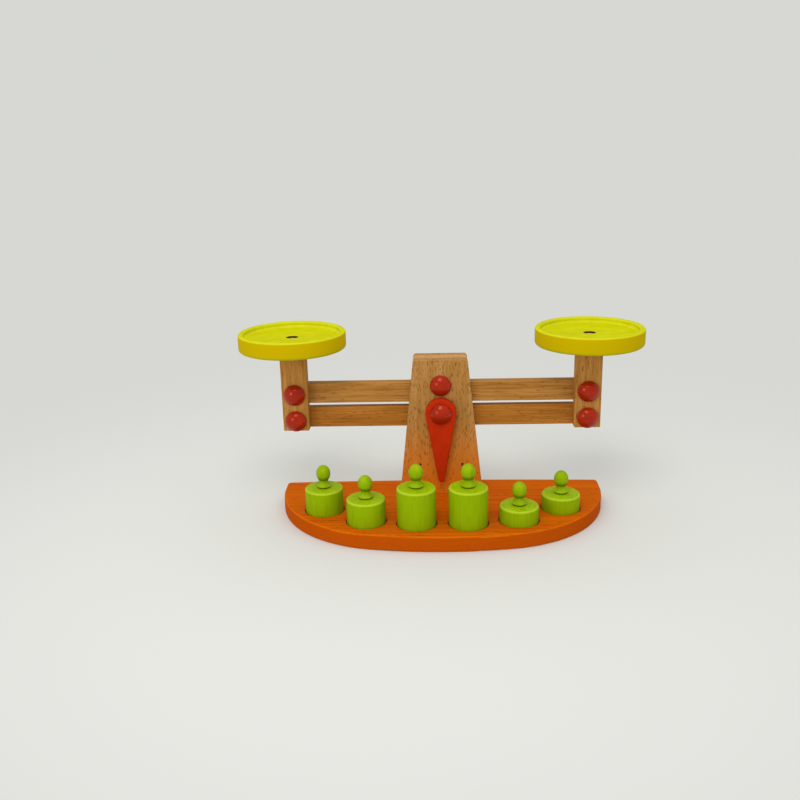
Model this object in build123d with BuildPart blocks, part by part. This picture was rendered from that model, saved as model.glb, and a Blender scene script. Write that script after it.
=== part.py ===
"""Toy balance scale: two parallel beams on a slotted tower, two pans on upright posts,
a hanging pointer, and six knobbed weights standing in sockets of a half-moon base.

Frame: +Z up, the front faces -Y, the beams run along X. The origin is on the plane of the
base's underside, under the middle of the tower and on the middle plane of both beams.
All lengths are millimetres.
"""

from math import cos, radians, sqrt, tan
from build123d import *
import os

os.makedirs("parts", exist_ok=True)

# Fits between pieces
running_clearance = 0.06
glue_clearance = 0.03
side_gap = 0.5
open_pivot_clearance = 0.3

# Base board: a half-moon with an almost straight back edge
base_length = 263.4
base_thickness = 12.5
base_front_radius = 307.0
base_side_radius = 94.0
base_side_straight = 16.8
base_back_bow = 2.8
base_corner_radius = 3.4
base_edge_round = 1.5

# Tower: two tapered plates glued to a foot block and a head block, which leave a slot between
tower_foot_width = 67.8
tower_head_width = 43.4
head_block_height = 13.35
tower_plate_thickness = 7.0
tower_corner_radius = 2.6
tower_edge_round = 0.6
tower_setback = 5.9
slot_side_clearance = 1.0
slot_end_clearance = 1.2

# Linkage: the same peg spacing at the tower and at the posts keeps the posts upright
arm_length = 117.0
link_pitch = 21.8
link_height = 74.8
end_peg_raise = 1.05
pivot_raise = 5.4
swing_angle = 12.0

# Beams
beam_height = 16.8
beam_thickness = 8.0
beam_pitch = 20.4
beam_edge_round = 0.8
boss_wall = 3.6
boss_foot_radius = 3.0
boss_relief = 0.8

# Pegs with domed heads
peg_diameter = 6.0
peg_head_diameter = 17.0
peg_head_height = 5.6
peg_head_rim = 1.3
peg_tip_chamfer = 0.6
peg_end_setback = 0.4

# Posts and pans
post_width = 20.8
post_thickness = 10.0
post_foot_margin = 8.6
post_edge_round = 0.8
pan_diameter = 85.0
pan_thickness = 13.7
pan_top_rise = 51.05
pan_rim_width = 4.4
pan_well_depth = 4.6
pan_well_round = 2.0
pan_rim_round = 1.5
pan_foot_round = 2.4
pan_counterbore_diameter = 9.6
pan_counterbore_depth = 2.6

# Pointer
pointer_head_radius = 12.4
pointer_tip_radius = 2.4
pointer_tip_height = 11.6
pointer_thickness = 5.5
pointer_edge_round = 1.2

# Screws and brads
pan_screw_length = 20.0
pan_screw_shank_diameter = 3.6
pan_screw_head_diameter = 7.6
pan_screw_head_height = 1.8
base_screw_length = 36.0
base_screw_shank_diameter = 4.0
base_screw_head_diameter = 8.0
base_screw_spacing = 22.0
base_screw_sink = 0.6
brad_diameter = 1.8
brad_length = 15.0
brad_spacing = 34.0
brad_height = 25.4

# Weights: three pairs, each weight with a turned knob
weight_diameter = 30.0
weight_edge_round = 1.2
socket_depth = 5.0
socket_clearance = 0.6
socket_edge_round = 0.8
tall_weight_stand = 29.5
medium_weight_stand = 19.0
short_weight_stand = 12.4
inner_weight_x = 19.7
outer_weight_end_gap = 38.4
middle_weight_share = 0.5285
inner_weight_inset = 25.0
middle_weight_inset = 24.2
outer_weight_inset = 23.1

# Knobs
knob_height = 18.3
knob_diameter = 11.1
knob_neck_diameter = 6.4
knob_neck_height = 5.0
knob_foot_diameter = 11.2
knob_foot_rim = 0.5
knob_foot_rise = 1.2
knob_foot_lean = 0.25
knob_seat_diameter = 9.0
knob_seat_depth = 0.8
knob_seat_clearance = 0.1
knob_tenon_diameter = 6.0
knob_tenon_length = 8.0
knob_wide_share = 0.5

# Heights and planes that follow
swing = radians(swing_angle)
tower_thickness = 2 * tower_plate_thickness + beam_thickness + 2 * slot_side_clearance
tower_front = -tower_thickness / 2
tower_back = tower_thickness / 2
slot_half = beam_thickness / 2 + slot_side_clearance
base_back = tower_back + tower_setback
link_z = base_thickness + link_height
upper_beam_z = link_z + beam_pitch / 2
lower_beam_z = link_z - beam_pitch / 2
upper_end_z = link_z + end_peg_raise + link_pitch / 2
lower_end_z = link_z + end_peg_raise - link_pitch / 2
upper_pivot_z = upper_end_z + pivot_raise
lower_pivot_z = lower_end_z + pivot_raise
boss_radius = peg_diameter / 2 + boss_wall
beam_front = -beam_thickness / 2
post_back = beam_front - side_gap
post_front = post_back - post_thickness
post_y = (post_back + post_front) / 2
pan_top_z = upper_end_z + pan_top_rise
pan_foot_z = pan_top_z - pan_thickness
pan_floor_z = pan_top_z - pan_well_depth
post_foot_z = lower_end_z - post_foot_margin
pointer_back = tower_front - side_gap
pointer_front = pointer_back - pointer_thickness
pointer_length = lower_pivot_z - base_thickness - pointer_tip_height
socket_floor_z = base_thickness - socket_depth
slot_roof_z = upper_pivot_z + boss_radius + slot_end_clearance
tower_height = slot_roof_z + head_block_height - base_thickness


def tower_half_width(height):
    """Half the tower's width at a height above the base's top."""
    taper = (tower_foot_width - tower_head_width) / 2 / tower_height
    return tower_foot_width / 2 - taper * height


def upright(x, y, z):
    """A plane square to the beams' hinge axes, facing the front."""
    return Plane(origin=(x, y, z), x_dir=(1, 0, 0), z_dir=(0, -1, 0))


def level(x, y, z):
    """A level plane with its origin on a piece's own axis."""
    return Plane(origin=(x, y, z))


def cap_middle(radius, rise):
    """A point midway on a round cap's profile, measured from the cap's centre and rim."""
    cap_radius = (radius**2 + rise**2) / (2 * rise)
    return radius / 2, rise - cap_radius + sqrt(cap_radius**2 - radius**2 / 4)


def save(piece, name):
    piece.part.label = name
    export_step(piece.part, f"parts/{name}.step")
    return piece.part


# The slot is open far enough for both beams at the end of their swing
lower_edge_drop = (lower_pivot_z - lower_beam_z + beam_height / 2) / cos(swing)
slot_floor_z = (
    lower_pivot_z - lower_edge_drop - tower_foot_width / 2 * tan(swing) - slot_end_clearance
)
foot_block_height = slot_floor_z - base_thickness


def tower_corners(low, high):
    """Corners of the tapered outline between two heights above the base's top."""
    return [
        (-tower_half_width(low), low),
        (tower_half_width(low), low),
        (tower_half_width(high), high),
        (-tower_half_width(high), high),
    ]


def brad_places():
    return [(-brad_spacing / 2, brad_height), (brad_spacing / 2, brad_height)]


def pivot_places():
    return [(0, upper_pivot_z - base_thickness), (0, lower_pivot_z - base_thickness)]


# Tower plates: the upper peg is glued in both, the lower peg turns in both
for name, face_y in (("tower_front", tower_front + tower_plate_thickness), ("tower_back", tower_back)):
    with BuildPart() as plate:
        with BuildSketch(upright(0, face_y, base_thickness)) as outline:
            Polygon(*tower_corners(0, tower_height), align=None)
            fillet(outline.vertices().group_by(Axis.Y)[-1], tower_corner_radius)
        extrude(amount=tower_plate_thickness)
        outer_face = plate.faces().sort_by(Axis.Y)[0 if name == "tower_front" else -1]
        rounded = outer_face.edges().filter_by(
            lambda edge: edge.center().Z > base_thickness + tower_edge_round
        )
        fillet(rounded, tower_edge_round)
        with BuildSketch(upright(0, face_y, base_thickness)):
            with Locations(pivot_places()[0]):
                Circle(peg_diameter / 2 + glue_clearance)
            with Locations(pivot_places()[1]):
                Circle(peg_diameter / 2 + running_clearance)
        extrude(amount=tower_plate_thickness, mode=Mode.SUBTRACT)
        if name == "tower_front":
            with BuildSketch(upright(0, face_y, base_thickness)):
                with Locations(*brad_places()):
                    Circle(brad_diameter / 2 + glue_clearance)
            extrude(amount=tower_plate_thickness, mode=Mode.SUBTRACT)
    save(plate, name)

# Foot block between the plates, with blind holes for the brads and the base screws
base_screw_reach = base_screw_length + base_screw_sink - base_thickness
with BuildPart() as foot_block:
    with BuildSketch(upright(0, slot_half, base_thickness)):
        Polygon(*tower_corners(0, foot_block_height), align=None)
    extrude(amount=2 * slot_half)
    with BuildSketch(upright(0, -slot_half + brad_length - tower_plate_thickness, base_thickness)):
        with Locations(*brad_places()):
            Circle(brad_diameter / 2 + glue_clearance)
    extrude(amount=brad_length - tower_plate_thickness, mode=Mode.SUBTRACT)
    with BuildSketch(level(0, 0, base_thickness)):
        with GridLocations(base_screw_spacing, 0, 2, 1):
            Circle(base_screw_shank_diameter / 2 + glue_clearance)
    extrude(amount=base_screw_reach + glue_clearance, mode=Mode.SUBTRACT)
save(foot_block, "tower_foot_block")

with BuildPart() as head_block:
    with BuildSketch(upright(0, slot_half, base_thickness)) as outline:
        Polygon(*tower_corners(tower_height - head_block_height, tower_height), align=None)
        fillet(outline.vertices().group_by(Axis.Y)[-1], tower_corner_radius)
    extrude(amount=2 * slot_half)
save(head_block, "tower_head_block")

# Base board outline: shallow back arc, short straight sides, two side arcs and a wide front arc
half_length = base_length / 2
side_centre = Vector(half_length - base_side_radius, base_back - base_side_straight)
front_centre_rise = sqrt((base_front_radius - base_side_radius) ** 2 - side_centre.X**2)
front_centre = Vector(0, side_centre.Y + front_centre_rise)
base_front = front_centre.Y - base_front_radius
join_direction = (side_centre - front_centre).normalized()
front_join = front_centre + join_direction * base_front_radius
side_middle = side_centre + (join_direction + Vector(1, 0)).normalized() * base_side_radius


def mirrored(point):
    return Vector(-point.X, point.Y)


def row_y(x, inset):
    """Where a weight stands whose centre is a set distance inside the base's front edge."""
    centre, radius = front_centre, base_front_radius
    if abs(x) > front_join.X:
        centre, radius = side_centre, base_side_radius
    return centre.Y - sqrt((radius - inset) ** 2 - (abs(x) - centre.X) ** 2)


outer_weight_x = half_length - outer_weight_end_gap
middle_weight_x = inner_weight_x + (outer_weight_x - inner_weight_x) * middle_weight_share
weight_places = {
    "weight_1": (-outer_weight_x, outer_weight_inset, medium_weight_stand),
    "weight_2": (-middle_weight_x, middle_weight_inset, medium_weight_stand),
    "weight_3": (-inner_weight_x, inner_weight_inset, tall_weight_stand),
    "weight_4": (inner_weight_x, inner_weight_inset, tall_weight_stand),
    "weight_5": (middle_weight_x, middle_weight_inset, short_weight_stand),
    "weight_6": (outer_weight_x, outer_weight_inset, short_weight_stand),
}

with BuildPart() as base_board:
    with BuildSketch() as plan:
        with BuildLine():
            right_side = Line(
                (half_length, base_back - base_back_bow), (half_length, side_centre.Y)
            )
            ThreePointArc(right_side @ 1, side_middle, front_join)
            ThreePointArc(front_join, (0, base_front), mirrored(front_join))
            ThreePointArc(mirrored(front_join), mirrored(side_middle), (-half_length, side_centre.Y))
            Line((-half_length, side_centre.Y), (-half_length, base_back - base_back_bow))
            ThreePointArc(
                (-half_length, base_back - base_back_bow), (0, base_back), right_side @ 0
            )
        make_face()
        fillet(plan.vertices().group_by(Axis.Y)[-1], base_corner_radius)
    extrude(amount=base_thickness)
    fillet(base_board.faces().filter_by(Axis.Z).edges(), base_edge_round)
    with BuildSketch(Plane.XY.offset(base_thickness)):
        with Locations(*[(x, row_y(x, inset)) for x, inset, stand in weight_places.values()]):
            Circle(weight_diameter / 2 + socket_clearance)
    extrude(amount=-socket_depth, mode=Mode.SUBTRACT)
    rims = base_board.faces().sort_by(Axis.Z)[-1].inner_wires()
    fillet([edge for rim in rims for edge in rim.edges()], socket_edge_round)
    with Locations(
        Plane(origin=(-base_screw_spacing / 2, 0, 0), z_dir=(0, 0, -1)),
        Plane(origin=(base_screw_spacing / 2, 0, 0), z_dir=(0, 0, -1)),
    ):
        CounterSinkHole(
            base_screw_shank_diameter / 2 + glue_clearance,
            base_screw_head_diameter / 2 + base_screw_sink + glue_clearance,
            depth=base_thickness,
            counter_sink_angle=90,
        )
save(base_board, "base_board")

# Countersunk wood screws from below, through the base into the foot block
with BuildPart() as base_screws:
    for side in (-1, 1):
        screw_x = side * base_screw_spacing / 2
        with BuildSketch(Plane(origin=(screw_x, 0, base_screw_sink), x_dir=(1, 0, 0), z_dir=(0, -1, 0))):
            with BuildLine():
                shank = base_screw_shank_diameter / 2
                head = base_screw_head_diameter / 2
                Polyline(
                    (0, 0),
                    (head, 0),
                    (shank, head - shank),
                    (shank, base_screw_length - shank),
                    (0, base_screw_length),
                    close=True,
                )
            make_face()
        revolve(axis=Axis((screw_x, 0, 0), (0, 0, 1)))
save(base_screws, "base_screws")

with BuildPart() as brads:
    with BuildSketch(upright(0, -slot_half + brad_length - tower_plate_thickness, base_thickness)):
        with Locations(*brad_places()):
            Circle(brad_diameter / 2)
    extrude(amount=brad_length)
save(brads, "tower_brads")


def beam_profile(centre_z, pivot_z):
    """Bar with round ends and a raised round boss at its middle pivot."""
    with BuildSketch(upright(0, -beam_front, centre_z)) as profile:
        SlotOverall(2 * arm_length + beam_height, beam_height)
        with Locations((0, pivot_z - centre_z)):
            Circle(boss_radius)
        feet = profile.vertices().sort_by_distance((0, pivot_z - centre_z, 0))[:2]
        fillet(feet, boss_foot_radius)
    return profile.sketch


def beam_bores(pivot_z, end_z, pivot_clearance):
    """Bores for the middle peg and the two end pegs."""
    with BuildSketch(upright(0, -beam_front, end_z)) as bores:
        with Locations((0, pivot_z - end_z)):
            Circle(peg_diameter / 2 + pivot_clearance)
        with Locations((-arm_length, 0), (arm_length, 0)):
            Circle(peg_diameter / 2 + glue_clearance)
    return bores.sketch


# Upper beam: turns on its pivot peg, and is relieved below along the path of the lower beam's boss
boss_path = CenterArc((0, 0), link_pitch, 270 - swing_angle, 2 * swing_angle)
with BuildPart() as upper_beam:
    extrude(beam_profile(upper_beam_z, upper_pivot_z), amount=beam_thickness)
    fillet(upper_beam.faces().filter_by(Axis.Y).edges(), beam_edge_round)
    with BuildSketch(upright(0, 0, upper_pivot_z)):
        SlotArc(boss_path, 2 * (boss_radius + boss_relief))
    extrude(amount=beam_thickness, both=True, mode=Mode.SUBTRACT)
    upper_bores = beam_bores(upper_pivot_z, upper_end_z, running_clearance)
    extrude(upper_bores, amount=beam_thickness, mode=Mode.SUBTRACT)
save(upper_beam, "upper_beam")

# Lower beam: glued to its pivot peg, which carries the pointer in front of the tower
with BuildPart() as lower_beam:
    extrude(beam_profile(lower_beam_z, lower_pivot_z), amount=beam_thickness)
    fillet(lower_beam.faces().filter_by(Axis.Y).edges(), beam_edge_round)
    lower_bores = beam_bores(lower_pivot_z, lower_end_z, glue_clearance)
    extrude(lower_bores, amount=beam_thickness, mode=Mode.SUBTRACT)
save(lower_beam, "lower_beam")


def make_peg(name, x, seat_y, z, shank_length):
    """Turned peg along Y with a domed head in front of its seat."""
    head = peg_head_diameter / 2
    shank = peg_diameter / 2
    shoulder_x, shoulder_rise = cap_middle(head, peg_head_height - peg_head_rim)
    shoulder = (shoulder_x, -peg_head_rim - shoulder_rise)
    with BuildPart() as peg:
        with BuildSketch(level(x, seat_y, z)):
            with BuildLine():
                Polyline(
                    (0, -peg_head_height),
                    (0, shank_length),
                    (shank - peg_tip_chamfer, shank_length),
                    (shank, shank_length - peg_tip_chamfer),
                    (shank, 0),
                    (head, 0),
                    (head, -peg_head_rim),
                )
                ThreePointArc((head, -peg_head_rim), shoulder, (0, -peg_head_height))
            make_face()
        revolve(axis=Axis((x, seat_y, z), (0, 1, 0)))
    return save(peg, name)


make_peg("upper_pivot_peg", 0, tower_front, upper_pivot_z, tower_thickness - peg_end_setback)
make_peg(
    "lower_pivot_peg", 0, pointer_front, lower_pivot_z, tower_back - pointer_front - peg_end_setback
)

# End pegs: glued in the beams, turning in the posts, heads a side gap clear of the posts
end_peg_seat = post_front - side_gap
end_peg_shank = -beam_front - end_peg_seat - peg_end_setback
for side_name, side in (("left", -1), ("right", 1)):
    make_peg(f"{side_name}_upper_peg", side * arm_length, end_peg_seat, upper_end_z, end_peg_shank)
    make_peg(f"{side_name}_lower_peg", side * arm_length, end_peg_seat, lower_end_z, end_peg_shank)

# Pointer: round head tapering straight to a small round tip, glued on the lower pivot peg
with BuildPart() as pointer:
    with BuildSketch(upright(0, pointer_back, lower_pivot_z)):
        Circle(pointer_head_radius)
        with Locations((0, pointer_tip_radius - pointer_length)):
            Circle(pointer_tip_radius)
        make_hull()
    extrude(amount=pointer_thickness)
    fillet(pointer.faces().filter_by(Axis.Y).edges(), pointer_edge_round)
    with BuildSketch(upright(0, pointer_back, lower_pivot_z)):
        Circle(peg_diameter / 2 + glue_clearance)
    extrude(amount=pointer_thickness, mode=Mode.SUBTRACT)
save(pointer, "pointer")


def make_post(name, x):
    """Upright strip in front of the beams, bored for both end pegs, with a pilot hole in its top."""
    with BuildPart() as post:
        with BuildSketch(level(x, post_y, post_foot_z)):
            Rectangle(post_width, post_thickness)
        extrude(amount=pan_foot_z - post_foot_z)
        fillet(post.edges().filter_by(Axis.Z), post_edge_round)
        fillet(post.faces().sort_by(Axis.Z)[0].edges(), post_edge_round)
        with BuildSketch(upright(x, post_back, 0)):
            with Locations((0, upper_end_z)):
                Circle(peg_diameter / 2 + running_clearance)
            with Locations((0, lower_end_z)):
                Circle(peg_diameter / 2 + open_pivot_clearance)
        extrude(amount=post_thickness, mode=Mode.SUBTRACT)
        with BuildSketch(level(x, post_y, pan_foot_z)):
            Circle(pan_screw_shank_diameter / 2 + glue_clearance)
        extrude(amount=-pan_screw_reach - glue_clearance, mode=Mode.SUBTRACT)
    return save(post, name)


def make_pan(name, x):
    """Turned dish with a raised rim, screwed down on its post through a counterbored hole."""
    outer = pan_diameter / 2
    with BuildPart() as pan:
        with BuildSketch(level(x, post_y, pan_foot_z)):
            Circle(outer)
        extrude(amount=pan_thickness)
        with BuildSketch(level(x, post_y, pan_top_z)):
            Circle(outer - pan_rim_width)
        extrude(amount=-pan_well_depth, mode=Mode.SUBTRACT)
        floor_edge = pan.edges().filter_by(
            lambda edge: abs(edge.center().Z - pan_floor_z) < glue_clearance
        )
        fillet(floor_edge, pan_well_round)
        fillet(pan.faces().sort_by(Axis.Z)[-1].edges(), pan_rim_round)
        fillet(pan.faces().sort_by(Axis.Z)[0].edges(), pan_foot_round)
        with Locations((x, post_y, pan_floor_z)):
            CounterBoreHole(
                pan_screw_shank_diameter / 2 + glue_clearance,
                pan_counterbore_diameter / 2,
                pan_counterbore_depth,
            )
    return save(pan, name)


def make_pan_screw(name, x):
    """Wood screw with a low round head, seated in the pan's counterbore."""
    seat_z = pan_floor_z - pan_counterbore_depth
    head = pan_screw_head_diameter / 2
    shank = pan_screw_shank_diameter / 2
    crown = pan_screw_head_height / 2
    crown_x, crown_rise = cap_middle(head, pan_screw_head_height - crown)
    with BuildPart() as screw:
        with BuildSketch(upright(x, post_y, seat_z)):
            with BuildLine():
                Polyline(
                    (0, pan_screw_head_height),
                    (0, -pan_screw_length),
                    (shank, shank - pan_screw_length),
                    (shank, 0),
                    (head, 0),
                    (head, crown),
                )
                ThreePointArc(
                    (head, crown), (crown_x, crown + crown_rise), (0, pan_screw_head_height)
                )
            make_face()
        revolve(axis=Axis((x, post_y, seat_z), (0, 0, 1)))
    return save(screw, name)


pan_screw_reach = pan_screw_length + pan_foot_z - pan_floor_z + pan_counterbore_depth
for side_name, side in (("left", -1), ("right", 1)):
    make_post(f"{side_name}_post", side * arm_length)
    make_pan(f"{side_name}_pan", side * arm_length)
    make_pan_screw(f"{side_name}_pan_screw", side * arm_length)


def make_weight(name, x, y, stand):
    """Turned cylinder that stands in its socket, bored on top for its knob."""
    top_z = base_thickness + stand
    with BuildPart() as weight:
        with BuildSketch(level(x, y, socket_floor_z)):
            Circle(weight_diameter / 2)
        extrude(amount=top_z - socket_floor_z)
        fillet(weight.edges(), weight_edge_round)
        with Locations((x, y, top_z)):
            CounterBoreHole(
                knob_tenon_diameter / 2 + glue_clearance,
                knob_seat_diameter / 2 + knob_seat_clearance,
                knob_seat_depth,
                depth=knob_seat_depth + knob_tenon_length + glue_clearance,
            )
    return save(weight, name)


def make_knob(name, x, y, stand):
    """Turned knob: tenon, seat, foot flared like a trumpet, waisted neck and egg-shaped grip."""
    seat_z = base_thickness + stand - knob_seat_depth
    seat = knob_seat_diameter / 2
    foot = knob_foot_diameter / 2
    lip = knob_seat_depth + knob_foot_rise
    neck = knob_neck_diameter / 2
    tenon = knob_tenon_diameter / 2
    grip = knob_diameter / 2
    top = knob_height + knob_seat_depth
    neck_top = knob_neck_height + knob_seat_depth
    grip_height = top - neck_top
    wide = neck_top + grip_height * knob_wide_share
    with BuildPart() as knob:
        with BuildSketch(upright(x, y, seat_z)):
            with BuildLine():
                Polyline(
                    (0, top),
                    (0, -knob_tenon_length),
                    (tenon, -knob_tenon_length),
                    (tenon, 0),
                    (seat, 0),
                    (seat, knob_seat_depth),
                    (foot, lip),
                    (foot, lip + knob_foot_rim),
                )
                Spline(
                    (foot, lip + knob_foot_rim), (neck, neck_top), tangents=[(-1, knob_foot_lean), (0, 1)]
                )
                Spline((neck, neck_top), (grip, wide), tangents=[(0, 1), (0, 1)])
                Spline((grip, wide), (0, top), tangents=[(0, 1), (-1, 0)])
            make_face()
        revolve(axis=Axis((x, y, seat_z), (0, 0, 1)))
    return save(knob, name)


for name, (x, inset, stand) in weight_places.items():
    make_weight(name, x, row_y(x, inset), stand)
    make_knob(name.replace("weight", "knob"), x, row_y(x, inset), stand)
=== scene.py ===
"""The looks of a wooden toy balance scale, set over its solid model piece by piece in the order
in which it is put together: board, tower, beams, pegs, pointer, posts, pans, screws and weights,
then the studio. Metres, +Z up, front towards -Y. Profiles of turned pieces are in millimetres.
"""

from math import atan2, cos, degrees, hypot, pi, radians, sin

import bpy
from mathutils import Matrix, Vector


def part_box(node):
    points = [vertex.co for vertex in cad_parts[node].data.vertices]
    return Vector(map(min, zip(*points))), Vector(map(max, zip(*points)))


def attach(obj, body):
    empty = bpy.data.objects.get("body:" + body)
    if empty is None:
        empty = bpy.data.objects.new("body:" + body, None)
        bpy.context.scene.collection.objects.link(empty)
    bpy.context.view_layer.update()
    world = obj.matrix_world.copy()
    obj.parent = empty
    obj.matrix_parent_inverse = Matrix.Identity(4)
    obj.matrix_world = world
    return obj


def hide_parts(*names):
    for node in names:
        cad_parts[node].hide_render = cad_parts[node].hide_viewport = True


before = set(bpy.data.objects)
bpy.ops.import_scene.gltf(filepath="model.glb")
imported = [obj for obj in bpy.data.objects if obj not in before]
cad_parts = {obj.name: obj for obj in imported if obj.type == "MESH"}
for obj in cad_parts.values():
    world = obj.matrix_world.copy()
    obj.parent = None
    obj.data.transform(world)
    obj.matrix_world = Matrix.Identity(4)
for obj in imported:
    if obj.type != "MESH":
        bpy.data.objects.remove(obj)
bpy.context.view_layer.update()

# Base board: a half-moon sawn from 12 mm beech board, its edges rounded over with a router bit and
# six shallow sockets bored in its top. It is stained orange and sealed with a satin lacquer, so the
# grain along its length still shows as darker streaks. Its rounded edges are painted lighter, as
# wear and as highlight, and its sawn edge is painted darker as shade.


def hue(code):
    """An sRGB hex colour as the linear colour that shaders take."""
    shades = [int(code[place : place + 2], 16) / 255 for place in (1, 3, 5)]
    return [s / 12.92 if s <= 0.04045 else ((s + 0.055) / 1.055) ** 2.4 for s in shades] + [1.0]


def node(tree, kind, inputs=None, **settings):
    """Add a node with its settings, and give each input its value or the socket that feeds it."""
    new = tree.nodes.new(kind)
    for name, value in settings.items():
        setattr(new, name, value)
    for name, value in (inputs or {}).items():
        if isinstance(value, bpy.types.NodeSocket):
            tree.links.new(value, new.inputs[name])
        else:
            new.inputs[name].default_value = value
    return new


def lacquered_beech(
    name,
    grain_turn,
    start,
    pale,
    warm,
    dark,
    fleck,
    fibre_size,
    fleck_size,
    sheen,
    sawn=0,
    painted_board_reflection=0,
):
    """Beech under lacquer, as solid wood: growth rings round a pith line outside the piece,
    fibres, and the short flecks of beech's rays. All of it follows the grain, which is turned
    from upright by grain_turn. Upright sides are painted darker as shade, by the share
    sawn, and a foot that stands on the orange board gets a painted reflection of
    its colour, by the share painted_board_reflection."""
    wood = bpy.data.materials.new(name)
    wood.use_nodes = True
    tree = wood.node_tree
    tree.nodes.clear()
    place = node(tree, "ShaderNodeTexCoord")
    grain = node(
        tree,
        "ShaderNodeMapping",
        {"Vector": place.outputs["Object"], "Location": start, "Rotation": grain_turn},
        vector_type="TEXTURE",
    )

    # Growth rings 3.4 mm apart, a little uneven, and cloudy bands of light and dark wood, 11 mm
    # across and drawn out along the grain. A ring wave of scale 1 repeats every 0.3142 m.
    ring_gap, wave_repeat, cloud_size = 0.0034, 0.3142, 0.011
    along = node(
        tree,
        "ShaderNodeMapping",
        {"Vector": grain.outputs[0], "Scale": (1, 1, 0.05)},
        vector_type="POINT",
    )
    rings = node(
        tree,
        "ShaderNodeTexWave",
        {
            "Vector": along.outputs[0],
            "Scale": wave_repeat / ring_gap,
            "Distortion": 3.2,
            "Detail": 3.0,
            "Detail Scale": 0.7,
            "Detail Roughness": 0.6,
        },
        wave_type="RINGS",
        rings_direction="Z",
    )
    clouds = node(
        tree,
        "ShaderNodeTexNoise",
        {"Vector": along.outputs[0], "Scale": 1 / cloud_size, "Detail": 3.0},
    )

    # Fibres as wide and long as given, and finer ones between them. Real bundles of fibres are
    # about 0.2 mm wide, too fine to show here, so each piece has them drawn some 1 mm wide.
    width, length = fibre_size
    fibre_place = node(
        tree,
        "ShaderNodeMapping",
        {"Vector": grain.outputs[0], "Scale": (1 / width, 1 / width, 1 / length)},
    )
    fibres = node(
        tree,
        "ShaderNodeTexNoise",
        {"Vector": fibre_place.outputs[0], "Scale": 1.0, "Detail": 4.0, "Roughness": 0.6},
    )

    # Ray flecks, some fainter than others, in the given share of the cells that hold them. Real
    # ones are about 0.5 mm wide and 3 mm long, and are drawn up to twice as wide to show.
    width, length, amount = fleck_size
    fleck_place = node(
        tree,
        "ShaderNodeMapping",
        {"Vector": grain.outputs[0], "Scale": (1 / width, 1 / width, 1 / length)},
    )
    cells = node(tree, "ShaderNodeTexVoronoi", {"Vector": fleck_place.outputs[0], "Scale": 1.0})
    chance = node(tree, "ShaderNodeSeparateColor", {"Color": cells.outputs["Color"]})
    reach = node(
        tree,
        "ShaderNodeMapRange",
        {
            "Value": chance.outputs[0],
            "From Min": 1 - amount,
            "From Max": 1.0,
            "To Min": 0.0,
            "To Max": 0.54,
        },
    )
    spare = node(
        tree,
        "ShaderNodeMath",
        {0: reach.outputs[0], 1: cells.outputs["Distance"]},
        operation="SUBTRACT",
    )
    strength = node(
        tree,
        "ShaderNodeMapRange",
        {"Value": chance.outputs[1], "To Min": 0.45, "To Max": 0.95},
    )
    clear = node(
        tree,
        "ShaderNodeMapRange",
        {"Value": spare.outputs[0], "From Min": -0.02, "From Max": 0.11},
    )
    flecks = node(
        tree,
        "ShaderNodeMath",
        {0: clear.outputs[0], 1: strength.outputs[0]},
        operation="MULTIPLY",
    )

    # Rounded edges, where the piece's own normal leaves its flat faces, are paler in patches 6 mm
    # across: sanding wear, and a painted highlight along the edge
    rub_size = 0.006
    turned = node(tree, "ShaderNodeVectorMath", {0: place.outputs["Normal"]}, operation="ABSOLUTE")
    sides = node(tree, "ShaderNodeSeparateXYZ", {0: turned.outputs[0]})
    edge = node(
        tree,
        "ShaderNodeMapRange",
        {"Value": sides.outputs["Z"], "From Min": 0.98, "From Max": 0.72},
    )
    edge_low = node(
        tree,
        "ShaderNodeMapRange",
        {"Value": sides.outputs["Z"], "From Min": 0.2, "From Max": 0.6},
    )
    worn_and_highlit = node(
        tree,
        "ShaderNodeMath",
        {0: edge.outputs[0], 1: edge_low.outputs[0]},
        operation="MULTIPLY",
    )
    patches = node(
        tree,
        "ShaderNodeTexNoise",
        {"Vector": place.outputs["Object"], "Scale": 1 / rub_size},
    )
    rub_and_highlight = node(
        tree,
        "ShaderNodeMath",
        {0: worn_and_highlit.outputs[0], 1: patches.outputs[0]},
        operation="MULTIPLY",
    )

    # Ground colour from pale to warm wood, darker along the fibres
    ring_shade = node(
        tree,
        "ShaderNodeMapRange",
        {
            "Value": rings.outputs["Fac"],
            "From Min": 0.15,
            "From Max": 1.0,
            "To Min": 0.0,
            "To Max": 0.55,
        },
    )
    cloud_shade = node(
        tree,
        "ShaderNodeMapRange",
        {
            "Value": clouds.outputs[0],
            "From Min": 0.32,
            "From Max": 0.68,
            "To Min": 0.0,
            "To Max": 0.6,
        },
    )
    shade = node(
        tree,
        "ShaderNodeMath",
        {0: ring_shade.outputs[0], 1: cloud_shade.outputs[0]},
        operation="ADD",
    )
    ground = node(
        tree,
        "ShaderNodeMix",
        {0: shade.outputs[0], 6: hue(pale), 7: hue(warm)},
        data_type="RGBA",
    )
    fibre_shade = node(
        tree,
        "ShaderNodeMapRange",
        {
            "Value": fibres.outputs[0],
            "From Min": 0.4,
            "From Max": 0.68,
            "To Min": 0.0,
            "To Max": 0.85,
        },
    )
    streaked = node(
        tree,
        "ShaderNodeMix",
        {0: fibre_shade.outputs[0], 6: ground.outputs[2], 7: hue(dark)},
        data_type="RGBA",
    )
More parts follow.
